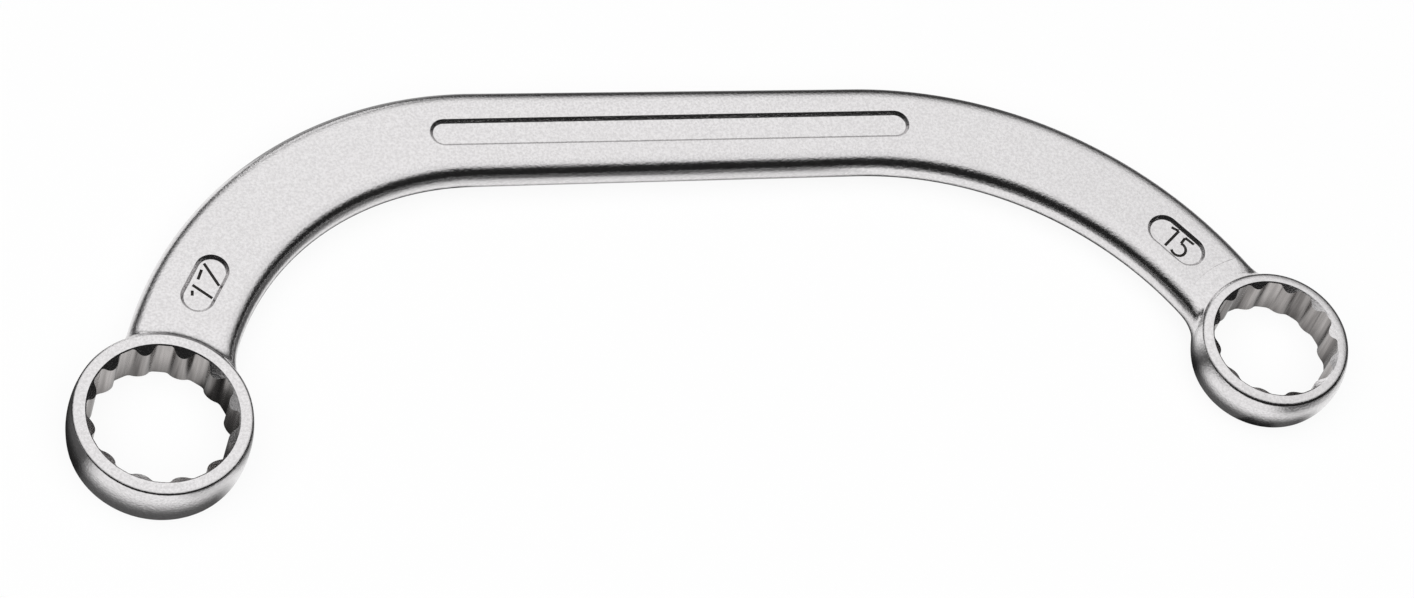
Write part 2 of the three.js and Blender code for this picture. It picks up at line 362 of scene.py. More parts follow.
class Arm:
    """The plan of one ring and its arm: bar along X, its middle at the origin, ring on +X.

    Side -1 mirrors it across the bar's middle.
    """

    def __init__(self, end, forging, side):
        self.end, self.side = end, side
        opening = (end.nut + forging.clearance) / 2
        self.ridge = opening / cos(pi / RIDGES)
        self.mouth, self.ring = end.mouth, end.ring
        self.top = end.height / 2
        rim_edge = Vector((self.mouth + end.rim, 0, self.top - end.rim * tan(end.crown / 2)))
        self.rounding = rim_edge - leaning(end.crown) * end.rim_rounding
        self.half_bar = forging.bar_length / 2
        self.bend = Vector((self.half_bar, -end.bend_radius, 0))
        self.ring_turn = pi / 2 - end.bend_angle
        self.unmirrored_centre = (
            self.bend + heading_vector(self.ring_turn) * (end.bend_radius + end.outset))
        self.centre = mirrored(self.unmirrored_centre, side)

    def edge(self, sign):
        """Centre and radius of the arm's outer (sign 1) or inner (sign -1) edge."""
        end = self.end
        start = Vector((self.half_bar, sign * end.bar_width / 2, 0))
        finish = self.bend + heading_vector(self.ring_turn) * (
            end.bend_radius + sign * end.neck_width / 2)
        radius = (start - finish).length_squared / (2 * (start.y - finish.y))
        return start - Vector((0, radius, 0)), radius

    def outline_steps(self):
        """Centre and sweep of the four arcs from the outer edge round to the inner one.

        Between the second and the third, the outline passes through the ring's centre to the point
        that is given last.
        """
        ring, end = self.unmirrored_centre, self.end
        outer, outer_radius = self.edge(1)
        inner, inner_radius = self.edge(-1)
        outer_hollow = meeting(outer, outer_radius + end.outer_fillet,
                               ring, self.ring + end.outer_fillet)
        inner_hollow = meeting(inner, inner_radius - end.inner_fillet,
                               ring, self.ring + end.inner_fillet)
        outer_touch = bearing(outer, outer_hollow)
        inner_touch = bearing(inner, inner_hollow)
        to_outer = bearing(outer_hollow, ring)
        to_inner = bearing(inner_hollow, ring)
        arcs = [
            (outer, short_way(pi / 2, outer_touch)),
            (outer_hollow, short_way(outer_touch + pi, to_outer)),
            (inner_hollow, short_way(to_inner, inner_touch)),
            (inner, short_way(inner_touch, pi / 2)),
        ]
        landings = (outer_hollow + heading_vector(to_outer) * end.outer_fillet,
                    inner_hollow + heading_vector(to_inner) * end.inner_fillet)
        side = self.side
        arcs = [(mirrored(centre, side), sweep) for centre, sweep in arcs]
        landings = [mirrored(point, side) for point in landings]
        if side > 0:
            return arcs[:2], landings[1], arcs[2:]
        return arcs[:1:-1], landings[0], arcs[1::-1]

    def panel(self):
        """The matrix of the size panel, X towards the small ring."""
        end = self.end
        turn = self.ring_turn + end.panel_reach / end.bend_radius
        place = mirrored(
            self.bend + heading_vector(turn) * (end.bend_radius + end.panel_offset), self.side)
        return Matrix.Translation(place) @ Matrix.Rotation(self.side * (turn - pi / 2), 4, "Z")


def arms_of(scene):
    """The plans of both arms by their side: -1 for the large ring, 1 for the small one."""
    return {-1: Arm(scene.spanner_large, scene.spanner_forging, -1),
            1: Arm(scene.spanner_small, scene.spanner_forging, 1)}


def bar_middle(arms):
    """Where the middle of the bar lies in the frame of the solids."""
    shank_low, shank_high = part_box("shank")
    return Vector((cad_box[0].x + arms[-1].ring - arms[-1].centre.x,
                   cad_box[1].y - arms[-1].end.bar_width / 2, (shank_low.z + shank_high.z) / 2))


class Outline:
    """A chain of edges drawn by one moving vertex, with lines and arcs."""

    def __init__(self, start, axis=UP, chord=CHORD):
        self.bm = bmesh.new()
        self.axis, self.chord = axis, chord
        self.first = self.last = self.bm.verts.new(start)

    def line(self, point):
        """Draws on to a point in a straight line."""
        made = bmesh.ops.extrude_vert_indiv(self.bm, verts=[self.last])
        self.last = made["verts"][0]
        self.last.co = point

    def arc(self, centre, sweep):
        """Draws on round a centre."""
        steps = max(3, ceil(abs(sweep) * (self.last.co - centre).length / self.chord))
        made = bmesh.ops.spin(self.bm, geom=[self.last], cent=centre, axis=self.axis,
                              dvec=(0, 0, 0), angle=sweep, steps=steps, use_duplicate=False)
        self.last = next(g for g in made["geom_last"] if isinstance(g, bmesh.types.BMVert))

    def filled(self):
        """The bmesh of the closed outline with one face in it."""
        if (self.last.co - self.first.co).length < SAME_PLACE:
            bmesh.ops.pointmerge(self.bm, verts=[self.first, self.last],
                                 merge_co=self.first.co)
        else:
            self.bm.edges.new((self.last, self.first))
        bmesh.ops.contextual_create(self.bm, geom=self.bm.edges[:])
        return self.bm

    def turned(self, centre):
        """The bmesh of the chain turned all the way round an upright axis."""
        bmesh.ops.spin(self.bm, geom=self.bm.verts[:] + self.bm.edges[:], cent=centre, axis=UP,
                       dvec=(0, 0, 0), angle=2 * pi, steps=RING_STEPS, use_merge=True,
                       use_duplicate=False)
        bmesh.ops.remove_doubles(self.bm, verts=self.bm.verts[:], dist=SAME_PLACE)
        bmesh.ops.recalc_face_normals(self.bm, faces=self.bm.faces[:])
        return self.bm


def rise(bm, faces, height, keep_lower=True):
    """Extrudes faces upwards and gives the new upper faces."""
    made = bmesh.ops.extrude_face_region(bm, geom=faces)["geom"]
    if not keep_lower:
        bmesh.ops.delete(bm, geom=faces, context="FACES_ONLY")
    bmesh.ops.translate(bm, vec=UP * height,
                        verts=[g for g in made if isinstance(g, bmesh.types.BMVert)])
    return [g for g in made if isinstance(g, bmesh.types.BMFace)]


def as_object(bm, name, skins=(), material=0):
    """An object in the scene from a bmesh, which is freed, with one of its materials all over."""
    bmesh.ops.recalc_face_normals(bm, faces=bm.faces[:])
    for face in bm.faces:
        face.material_index = material
    mesh = bpy.data.meshes.new(name)
    bm.to_mesh(mesh)
    bm.free()
    for skin in skins:
        mesh.materials.append(skin)
    made = bpy.data.objects.new(name, mesh)
    bpy.context.scene.collection.objects.link(made)
    return made


def sheet(name, half, depth):
    """A level sheet in squares of one metre, a little below the part."""
    bm = bmesh.new()
    bmesh.ops.create_grid(bm, x_segments=2 * half, y_segments=2 * half, size=half)
    bmesh.ops.translate(bm, vec=UP * (cad_box[0].z - depth), verts=bm.verts[:])
    return as_object(bm, name)


def gathered(parts):
    """One bmesh from several that do not touch, which are freed."""
    whole = bmesh.new()
    carrier = bpy.data.meshes.new("carrier")
    for part in parts:
        part.to_mesh(carrier)
        whole.from_mesh(carrier)
        part.free()
    bpy.data.meshes.remove(carrier)
    return whole


def settle(made):
    """Applies an object's modifiers to its mesh."""
    graph = bpy.context.evaluated_depsgraph_get()
    old = made.data
    mesh = bpy.data.meshes.new_from_object(made.evaluated_get(graph))
    made.modifiers.clear()
    made.data = mesh
    mesh.name = made.name
    bpy.data.meshes.remove(old)


def combine(made, others, operation):
    """Joins or cuts an object with others, which are removed, and checks that it stays closed."""
    for other in others:
        step = made.modifiers.new(other.name, "BOOLEAN")
        step.operation, step.solver, step.object = operation, "MANIFOLD", other
    settle(made)
    for other in others:
        mesh = other.data
        bpy.data.objects.remove(other)
        bpy.data.meshes.remove(mesh)
    bm = bmesh.new()
    bm.from_mesh(made.data)
    volume = bm.calc_volume()
    open_edges = sum(not edge.is_manifold for edge in bm.edges)
    bm.free()
    if open_edges or volume <= 0:
        raise RuntimeError(f"{made.name} is not closed: {open_edges} open edges")


def shank_plate(arms, forging):
    """The bar and both arms as a plate with rounded edges."""
    small, large = arms[1], arms[-1]
    start = Vector((small.half_bar, small.end.bar_width / 2, -forging.shank_height / 2))
    level = UP * start.z
    outline = Outline(start)
    for arm in (small, large):
        before, landing, after = arm.outline_steps()
        if arm is large:
            outline.line(Vector((-large.half_bar, -large.end.bar_width / 2, 0)) + level)
        for centre, sweep in before:
            outline.arc(centre + level, sweep)
        outline.line(arm.centre + level)
        outline.line(landing + level)
        for centre, sweep in after:
            outline.arc(centre + level, sweep)
    bm = outline.filled()
    rise(bm, bm.faces[:], forging.shank_height)
    bmesh.ops.recalc_face_normals(bm, faces=bm.faces[:])
    edges = [e for e in bm.edges if abs(e.verts[0].co.z - e.verts[1].co.z) < SAME_PLACE]
    bmesh.ops.bevel(bm, geom=edges, offset=forging.edge_rounding, offset_type="OFFSET",
                    segments=EDGE_STEPS, profile=0.5, affect="EDGES", material=-1,
                    clamp_overlap=False)
    return bm


def ring_barrel(arm):
    """A ring's solid barrel, a little higher than the finished ring."""
    meets = arm.rounding + leaning(RIM_MEETS_SIDE) * arm.end.rim_rounding
    sag = arm.ring - meets.x
    radius = (meets.z ** 2 + sag ** 2) / (2 * sag)
    top = arm.top + OVERCUT / 2
    sweep = asin(top / radius)
    hub = arm.centre + Vector((arm.ring - radius, 0, 0))
    foot = hub + Vector((radius * cos(sweep), 0, -radius * sin(sweep)))
    profile = Outline(arm.centre - UP * top, axis=-ALONG_Y)
    profile.line(foot)
    profile.arc(hub, 2 * sweep)
    profile.line(arm.centre + UP * top)
    return profile.turned(arm.centre)


def rim_facing(arm, way):
    """The cutter that faces one rim, crowns it and rounds its outer edge."""
    end, centre = arm.end, arm.centre
    profile = Outline(centre + UP * arm.top, axis=ALONG_Y, chord=FINE_CHORD)
    profile.line(centre + Vector((arm.mouth, 0, arm.top)))
    profile.arc(centre + Vector((arm.mouth, 0, arm.top - end.rim / sin(end.crown))), end.crown)
    profile.chord = end.rim_rounding / RIM_STEPS
    profile.arc(centre + arm.rounding, RIM_RUNS_OUT - end.crown)
    reach = profile.last.co.copy()
    profile.line(reach + Vector((FACING_REACH, 0, -FACING_DROP)))
    profile.line(reach + Vector((FACING_REACH, 0, FACING_REACH)))
    profile.line(centre + UP * (reach.z + FACING_REACH))
    return turned_over(profile.turned(centre), way)


def turned_over(bm, way):
    """The bmesh itself, or mirrored to the lower face for way -1."""
    if way < 0:
        bmesh.ops.scale(bm, vec=(1, 1, -1), verts=bm.verts[:])
        bmesh.ops.recalc_face_normals(bm, faces=bm.faces[:])
    return bm


def bore(arm, forging):
    """The 12-point cutter that goes right through a ring."""
    foot = arm.centre - UP * (arm.top + OVERCUT)
    shoulder, groove = arm.ridge + forging.ridge_lean, arm.mouth - forging.groove_inset
    steps = [(-forging.groove_spread, groove), (-forging.ridge_spread, shoulder), (0, arm.ridge),
             (forging.ridge_spread, shoulder), (forging.groove_spread, groove)]
    corners = [foot + heading_vector(arm.end.turn + 2 * pi * ridge / RIDGES + turn) * radius
               for ridge in range(RIDGES) for turn, radius in steps]
    outline = Outline(corners[0])
    for corner in corners[1:]:
        outline.line(corner)
    bm = outline.filled()
    bmesh.ops.bevel(bm, geom=bm.verts[:], offset=forging.wave, offset_type="OFFSET",
                    segments=WAVE_STEPS, profile=0.5, affect="VERTICES", material=-1,
                    clamp_overlap=True)
    rise(bm, bm.faces[:], arm.end.height + 2 * OVERCUT)
    return bm


def mouth(arm, way):
    """The cone that opens a mouth."""
    slope = (arm.mouth - arm.ridge) / arm.end.mouth_depth
    lower = arm.ridge - MOUTH_OVERCUT
    upper = arm.mouth + slope * MOUTH_OVERCUT
    low_z = arm.top - (arm.mouth - lower) / slope
    high_z = arm.top + MOUTH_OVERCUT
    bm = bmesh.new()
    bmesh.ops.create_cone(bm, cap_ends=True, cap_tris=False, segments=RING_STEPS,
                          radius1=lower, radius2=upper, depth=high_z - low_z,
                          matrix=Matrix.Translation(arm.centre + UP * (low_z + high_z) / 2))
    return turned_over(bm, way)


def recess(place, size, depth, forging, way):
    """A long round-ended cutter with a rounded floor and lip, on the upper or lower face."""
    full, width = size
    radius, fillet, lip = width / 2, forging.floor_fillet, forging.lip_rounding
    half = full / 2 - radius
    face = forging.shank_height / 2
    floor = face - depth
    draft = forging.draft
    first = radius - depth / tan(draft) - fillet * tan(draft / 2)
    brink = radius + lip * tan(draft / 2)
    turns = [draft * i / FILLET_STEPS for i in range(1, FILLET_STEPS + 1)]
    sections = [(first + fillet * sin(turn), floor + fillet * (1 - cos(turn))) for turn in turns]
    sections += [(brink - lip * sin(turn), face - lip + lip * cos(turn)) for turn in turns[:0:-1]]
    across, height = sections[-1]
    sections.append((across + LIP_OVERCUT, height + LIP_OVERCUT * tan(turns[1])))
    outline = Outline(Vector((-half, -first, floor)), chord=FINE_CHORD)
    outline.line(Vector((half, -first, floor)))
    outline.arc(Vector((half, 0, floor)), pi)
    outline.line(Vector((-half, first, floor)))
    outline.arc(Vector((-half, 0, floor)), pi)
    bm = outline.filled()
    upper, last = bm.faces[:], (first, floor)
    for section in sections:
        upper = rise(bm, upper, section[1] - last[1], last[1] == floor)
        verts = {v for f in upper for v in f.verts}
        for end in (-half, half):
            bmesh.ops.scale(bm, vec=(section[0] / last[0],) * 2 + (1,),
                            space=Matrix.Translation((-end, 0, 0)),
                            verts=[v for v in verts if v.co.x * end > 0])
        last = section
    bmesh.ops.transform(bm, matrix=place, verts=bm.verts[:])
    return turned_over(bm, way)


def size_strokes():
    """The strokes of the marks 17 and 15 in a panel's own plane, stems apart from flags."""
    def points(*pairs):
        return [Vector((x, y, 0)) * MM for x, y in pairs]

    hub, radius, start, step = Vector((0.98, -0.57, 0)), 1.02, 108, 24
    bowl = [(hub + heading_vector(radians(start - step * i)) * radius) * MM for i in range(11)]
    return {
        -1: ([points((-0.74, 1.4), (-1.3, -1.72)), points((2.9, 1.4), (0.8, -1.74))],
             [points((-2.2, 0.76), (-1.5, 1.07)), points((0.35, 1.1), (1.9, 1.28))]),
        1: ([points((-0.77, 1.7), (-0.69, -1.5)), points((2.0, 1.6), (0.5, 1.5)), bowl],
            [points((-1.85, 1.38), (-0.8, 1.68)), points((0.52, 1.45), (0.66, 0.4))]),
    }


def mark_strokes(place, strokes, depth, forging, way):
    """Round-bottomed cutters for the strokes of a size mark, in a panel's floor."""
    curve = bpy.data.curves.new("mark_strokes", "CURVE")
    curve.dimensions = "3D"
    curve.bevel_depth, curve.bevel_resolution = forging.stroke, 2
    curve.use_fill_caps = True
    level = UP * (forging.shank_height / 2 - depth + forging.stroke * STROKE_LIFT)
    for stroke in strokes:
        spline = curve.splines.new("POLY")
        spline.points.add(len(stroke) - 1)
        for point, corner in zip(spline.points, stroke):
            point.co = (*(corner + level), 1)
    carrier = bpy.data.objects.new("mark_strokes", curve)
    mesh = bpy.data.meshes.new_from_object(carrier)
    bm = bmesh.new()
    bm.from_mesh(mesh)
    bpy.data.objects.remove(carrier)
    bpy.data.curves.remove(curve)
    bpy.data.meshes.remove(mesh)
    bmesh.ops.remove_doubles(bm, verts=bm.verts[:], dist=SAME_PLACE)
    bmesh.ops.transform(bm, matrix=place, verts=bm.verts[:])
    return turned_over(bm, way)


def even_out(bm, verts, passes):
    """Draws vertices towards their neighbours, several times over."""
    for _ in range(passes):
        bmesh.ops.smooth_vert(bm, verts=verts, factor=0.5, use_axis_x=True, use_axis_y=True,
                              use_axis_z=True)


def soften(made, arms, forging):
    """Smooths the forged skin, and most where the arms run into the rings."""
    bm = bmesh.new()
    bm.from_mesh(made.data)
    even_out(bm, bm.verts[:], SKIN_PASSES)
    low = forging.shank_height / 2 - NECK_DEPTH
    inner, outer = NECK_BAND
    for arm in arms.values():
        near = []
        for vert in bm.verts:
            off = (vert.co.xy - arm.centre.xy).length - arm.ring
            if inner < off < outer and abs(vert.co.z) > low:
                near.append(vert)
        even_out(bm, near, NECK_PASSES)
    bm.to_mesh(made.data)
    bm.free()


class Value:
    """A socket of a node tree that adds Math nodes when it is reckoned with."""

    def __init__(self, recipe, socket):
        self.recipe, self.socket = recipe, socket

    def reckon(self, operation, *terms):
        """The result of one Math node."""
        sockets = dict(enumerate(terms))
        return self.recipe.node("ShaderNodeMath", {"operation": operation}, sockets).value()

    def __add__(self, other):
        return self.reckon("ADD", self, other)

    def __sub__(self, other):
        return self.reckon("SUBTRACT", self, other)

    def __rsub__(self, other):
        return self.reckon("SUBTRACT", other, self)

    def __mul__(self, other):
        return self.reckon("MULTIPLY", self, other)

    __radd__, __rmul__ = __add__, __mul__

    def most(self, other):
        """The greater of two values."""
        return self.reckon("MAXIMUM", self, other)


class Made:
    """A node that has been made, and its outputs as values."""

    def __init__(self, recipe, node):
        self.recipe, self.node = recipe, node

    def value(self, output=0):
        """One output, by its name or place."""
        return Value(self.recipe, self.node.outputs[output])


class Recipe:
    """The node tree of a material or of the world."""

    def __init__(self, owner):
        owner.use_nodes = True
        self.tree = owner.node_tree
        self.tree.nodes.clear()

    def node(self, kind, settings=None, sockets=None):
        """A node of a type, with its settings, then the values or links of its sockets."""
        made = self.tree.nodes.new(kind)
        for name, setting in (settings or {}).items():
            setattr(made, name, setting)
        for name, given in (sockets or {}).items():
            if isinstance(given, Value):
                self.tree.links.new(given.socket, made.inputs[name])
            else:
                made.inputs[name].default_value = given
        return Made(self, made)

    def ease(self, given, limits, edge=0):
        """A smooth step from nothing to one between two limits, which are counted from an edge."""
        return self.node("ShaderNodeMapRange", {"interpolation_type": "SMOOTHSTEP"}, {
            "Value": given, "From Min": edge + limits[0], "From Max": edge + limits[1]}).value()

    def vector(self, operation, output, *terms):
        """One output of a Vector Math node."""
        sockets = dict(enumerate(terms))
        return self.node("ShaderNodeVectorMath", {"operation": operation}, sockets).value(output)

    def distance(self, place, point):
        """How far a place on the floor lies from a point, in plan."""
        return self.vector("DISTANCE", "Value", place, (point.x, point.y, 0))

    def noise(self, place, lumps, detail, roughness):
        """A noise between nothing and one, with so many lumps to the metre."""
        return self.node("ShaderNodeTexNoise", {"noise_dimensions": "3D"}, {
            "Vector": place, "Scale": lumps, "Detail": detail, "Roughness": roughness}).value(0)

    def blend(self, factor, first, second):
        """A colour between two others."""
        return self.node("ShaderNodeMix", {"data_type": "RGBA"}, {
            0: factor, 6: first, 7: second}).value(2)

    def show(self, shader):
        """Makes a shader the material's surface."""
        self.node("ShaderNodeOutputMaterial", {}, {"Surface": shader.value()})

    def metal(self, skin, roughness, **sockets):
        """Makes bare metal the material's surface."""
        self.show(self.node("ShaderNodeBsdfPrincipled", {}, {
            "Base Color": skin, "Metallic": 1.0, "Roughness": roughness, **sockets}))

    def mix(self, factor, first, second):
        """Makes a mixture of two shaders the material's surface."""
        self.show(self.node("ShaderNodeMixShader", {}, {
            0: factor, 1: first.value(), 2: second.value()}))

    def bump(self, height, distance):
        """The normal of a surface that is raised by a pattern."""
        return self.node("ShaderNodeBump", {}, {
            "Strength": 1.0, "Distance": distance, "Height": height}).value("Normal")


def chrome(name, finish, roughness, grain_height):
    """Chrome plate over blasted or ground steel."""
    material = bpy.data.materials.new(name)
    recipe = Recipe(material)
    place = recipe.node("ShaderNodeTexCoord").value("Object")
    grain = recipe.noise(place, GRAIN_LUMPS, detail=3.0, roughness=0.62)
    cloud = recipe.noise(place, CLOUD_LUMPS, detail=3.0, roughness=0.55)
    of_grain, of_cloud = CHROME_TONE
    tone = recipe.ease(grain, GRAIN_CONTRAST) * of_grain + cloud * of_cloud
    skin = recipe.blend(tone, (*finish.dark, 1), (*finish.light, 1))
    rough = roughness + (grain - 0.5) * GRAIN_ROUGHENS + (cloud - 0.5) * CLOUD_ROUGHENS
    recipe.metal(skin, rough, Normal=recipe.bump(grain, grain_height))
    return material


def broached_steel(name, finish):
    """The openings' dull steel, drawn along their depth by the broach."""
    material = bpy.data.materials.new(name)
    recipe = Recipe(material)
    place = recipe.node("ShaderNodeTexCoord").value("Object")
    drawn = recipe.node("ShaderNodeMapping", {}, {"Vector": place, "Scale": BROACH_DRAW}).value()
    band = recipe.noise(drawn, BAND_LUMPS, detail=1.0, roughness=0.5)
    streak = recipe.noise(drawn, STREAK_LUMPS, detail=2.0, roughness=0.6)
    grain = recipe.noise(place, GRAIN_LUMPS, detail=2.0, roughness=0.6)
    of_band, of_streak, of_grain = BROACH_TONE
    tone = (recipe.ease(band, BAND_CONTRAST) * of_band
            + recipe.ease(streak, GRAIN_CONTRAST) * of_streak + grain * of_grain)
    skin = recipe.blend(tone, (*finish.bore_dark, 1), (*finish.bore, 1))
    recipe.metal(skin, finish.broached + (grain - 0.5) * BROACH_ROUGHENS,
                 Normal=recipe.bump(tone, BROACH_HEIGHT))
    return material


def painted_mark_shade(name, finish):
    """A dark colour in the strokes of the size marks: painted shade that deepens the real shade of
    their grooves.
    """
    material = bpy.data.materials.new(name)
    Recipe(material).metal((*finish.mark, 1), finish.shade_painted)
    return material


class SPANNER_OT_forge(bpy.types.Operator):
    """Forges the spanner: shank, both rings, bores, recesses and size marks in one piece"""

    bl_idname = "spanner.forge"
    bl_label = "Forge the spanner"

    def execute(self, context):
        scene = context.scene
        forging, finish = scene.spanner_forging, scene.spanner_finish
        arms = arms_of(scene)
        # The last skin is painted shade in the strokes of the size marks
        skins = (chrome("satin_chrome", finish, finish.satin, finish.grain),
                 chrome("ground_chrome", finish, finish.machined, finish.grain * GROUND_GRAIN),
                 broached_steel("broached_steel", finish), painted_mark_shade("painted_mark_shade", finish))
        piece = as_object(shank_plate(arms, forging), "forged_spanner", skins)
        barrels = [as_object(ring_barrel(arm), "barrel", skins) for arm in arms.values()]
        combine(piece, barrels, "UNION")
        skin = piece.modifiers.new("skin", "REMESH")
        skin.mode, skin.voxel_size, skin.adaptivity = "VOXEL", forging.grain_pitch, 0
        settle(piece)
        soften(piece, arms, forging)

        sides = [(arm, way) for arm in arms.values() for way in WAYS]
        small, large = scene.spanner_small, scene.spanner_large
        slot_middle = (small.slot_overrun - large.slot_overrun) / 2
        slot_length = forging.bar_length + small.slot_overrun + large.slot_overrun
        slot_place = Matrix.Translation((slot_middle, -forging.slot_offset, 0))
        panel = (forging.panel_length, forging.panel_width)
        recesses = [recess(slot_place, (slot_length, forging.slot_width), forging.slot_depth,
                           forging, way) for way in WAYS]
        recesses += [recess(arm.panel(), panel, forging.panel_depth, forging, way)
                     for arm, way in sides]
        strokes = size_strokes()
        marks = [[mark_strokes(arm.panel(), strokes[arm.side][layer], forging.panel_depth,
                               forging, way) for arm, way in sides] for layer in (0, 1)]
        cuts = [("facing", [rim_facing(arm, way) for arm, way in sides], GROUND),
                ("bores", [bore(arm, forging) for arm in arms.values()], BROACHED),
                ("mouths", [mouth(arm, way) for arm, way in sides], GROUND),
                ("recesses", recesses, SATIN)]
        cuts += [("marks", layer, MARK_SHADE) for layer in marks]
        cutters = [as_object(gathered(parts), name, skins, place) for name, parts, place in cuts]
        combine(piece, cutters, "DIFFERENCE")

        piece.data.transform(Matrix.Translation(bar_middle(arms)))
        piece.data.shade_smooth()
        piece.data.set_sharp_from_angle(angle=SHARP_EDGE)
        piece.modifiers.new("true_faces", "WEIGHTED_NORMAL").keep_sharp = True
        settle(piece)
        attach(piece, "root")
        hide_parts(*NODES)
        return {"FINISHED"}


class SPANNER_OT_stage(bpy.types.Operator):
    """Lays the pale floor and the shade card of painted shade, hangs the lamps and sets the camera
    """

    bl_idname = "spanner.stage"
    bl_label = "Set the stage"

    def execute(self, context):
        scene, studio = context.scene, context.scene.spanner_studio
        self.floor(studio)
        self.shade(studio, arms_of(scene))
        self.lights(scene, studio)
        self.camera(scene, studio)
        scene.view_settings.view_transform = "Standard"
        return {"FINISHED"}

    def floor(self, studio):
        """A wide pale floor, seen whiter than it is lit."""
        floor = sheet("floor", FLOOR_HALF, FLOOR_DEPTH)
        material = bpy.data.materials.new("pale_floor")
        recipe = Recipe(material)
        path = recipe.node("ShaderNodeLightPath")
        seen = path.value("Is Camera Ray")
        for ray in ("Is Glossy Ray", "Is Transmission Ray"):
            seen = seen.most(path.value(ray))
        matt = recipe.node("ShaderNodeBsdfDiffuse", {}, {"Color": (*studio.floor, 1)})
        white = recipe.node("ShaderNodeEmission", {}, {"Color": (1, 1, 1, 1), "Strength": 1.0})
        recipe.mix(seen * studio.glow, matt, white)
        floor.data.materials.append(material)

    def shade(self, studio, arms):
        """Painted shade: a dark card close over the floor that only the metal sees, open where the
        metal mirrors a bright floor.
        """
        card = sheet("shade", CARD_HALF, CARD_DEPTH)
        material = bpy.data.materials.new("shade_card")
        recipe = Recipe(material)
        place = recipe.node("ShaderNodeTexCoord").value("Object")
        apart = recipe.node("ShaderNodeSeparateXYZ", {}, {"Vector": place})
        x, y = apart.value("X"), apart.value("Y")
        middle = bar_middle(arms)
        viewer = -pi / 2 - studio.heading
        clear = self.open_by_shank(recipe, (place, x, y), studio, arms)
        far = 1 - recipe.ease(y, FAR_REAR)
        for side, patch in ((-1, studio.large_patch), (1, studio.small_patch)):
            arm = arms[side]
            hub = arm.centre + middle
            off = recipe.distance(place, hub)
            way = recipe.vector("SUBTRACT", "Vector", place, (hub.x, hub.y, 0))
            clear = clear * self.open_by_ring(recipe, (off, way), arm, viewer + patch, studio.shade)
            far = far * recipe.ease(off, FAR_STARTS, arm.ring)
        clear = clear * (1 - far * studio.shade)
        dark = recipe.node("ShaderNodeBsdfDiffuse", {}, {"Color": CARD_COLOUR})
        hole = recipe.node("ShaderNodeBsdfTransparent")
        recipe.mix(clear, dark, hole)
        card.data.materials.append(material)
        card.visible_camera = card.visible_diffuse = card.visible_shadow = False

    def open_by_shank(self, recipe, spot, studio, arms):
        """How open the card is in the arch, under the arms' inner edges and beyond the shank; where
        shut, it paints shade into the mirrored floor, and contact shadow under the arms' inner
        edges.
        """
        place, x, y = spot
        middle, large, small = bar_middle(arms), arms[-1], arms[1]
        half_width = large.end.bar_width / 2
        near_edge, far_edge = middle.y - half_width, middle.y + half_width
        on_arm = {-1: 1 - recipe.ease(x, LARGE_ARM_STARTS, middle.x - large.half_bar),
                  1: recipe.ease(x, SMALL_ARM_STARTS, middle.x + small.half_bar)}

        lit = (recipe.ease(y, BAR_STRIP, near_edge)
               * (1 - recipe.ease(y, BAR_FOOT, near_edge) * BAR_FOOT_DIMS))
        beneath = []
        for side, arm in arms.items():
            hub, reach = arm.edge(-1)
            within = recipe.distance(place, mirrored(hub, side) + middle)
            foot = recipe.ease(within, ARM_FOOT, reach) * on_arm[side]
            lit = lit.most(recipe.ease(within, ARM_STRIP[side], reach) * on_arm[side] - foot)
            beneath.append(foot * (1 - recipe.ease(within, ARM_FOOT_ENDS, reach))
                           * recipe.ease(y, ARM_FOOT_FRONT))
        court = (recipe.ease(x, COURT_LEFT) * (1 - recipe.ease(x, COURT_RIGHT))
                 * recipe.ease(y, COURT_FRONT) * (1 - lit))

        beyond = recipe.ease(y, BEYOND, far_edge)
        for side, arm in arms.items():
            out = recipe.distance(place, middle + mirrored(arm.bend, side))
            reach = arm.end.bend_radius + arm.end.neck_width / 2
            beyond = beyond.most(recipe.ease(out, BEYOND, reach) * on_arm[side])
        gap = recipe.distance(place, middle + mirrored(large.bend, -1)
                              + heading_vector(studio.gap) * large.end.bend_radius)
        beyond = beyond * recipe.ease(y, BEYOND_FRONT) * recipe.ease(gap, GAP_EDGE)
        return ((1 - court * studio.shade) * (1 - beyond * studio.shade)
                * (1 - beneath[0].most(beneath[1]) * studio.shade))

    def open_by_ring(self, recipe, spot, arm, patch, shade):
        """How open the card is round a ring and under it, off a bright patch at one heading; where
        shut, it paints shade round the ring and contact shadow under it.
        """
        off, way = spot
        level = recipe.vector("NORMALIZE", "Vector", way)
        ahead = recipe.vector("DOT_PRODUCT", "Value", level, heading_vector(patch))
        aside = recipe.vector("DOT_PRODUCT", "Value", level, heading_vector(patch + pi / 2))
        rightwards = recipe.ease(aside, PATCH_SIDES)
        leftwards = 1 - rightwards
        around = (rightwards * recipe.ease(ahead, RIGHT_REAR)
                  * recipe.ease(off, RIGHT_STARTS, arm.ring)
                  * (1 - recipe.ease(ahead, RIGHT_FRONT))
                  + leftwards * recipe.ease(ahead, LEFT_REAR[arm.side])
                  * (1 - recipe.ease(ahead, LEFT_FRONT)))
        around = around * (1 - recipe.ease(off, ROUND_ENDS, arm.ring))
        outside = recipe.ease(off, MOUTH_OUTSIDE, arm.mouth)
        inside = recipe.ease(off, MOUTH_INSIDE, arm.mouth)
        lit = (rightwards * recipe.ease(off, (arm.mouth, arm.ring))
               * (1 - recipe.ease(ahead, UNDER_FRONT)))
        under = ((inside + outside) * 0.5 * (1 - recipe.ease(off, UNDER_ENDS, arm.ring))
                 * (1 - lit))
        return (1 - around * outside * shade) * (1 - under * shade)

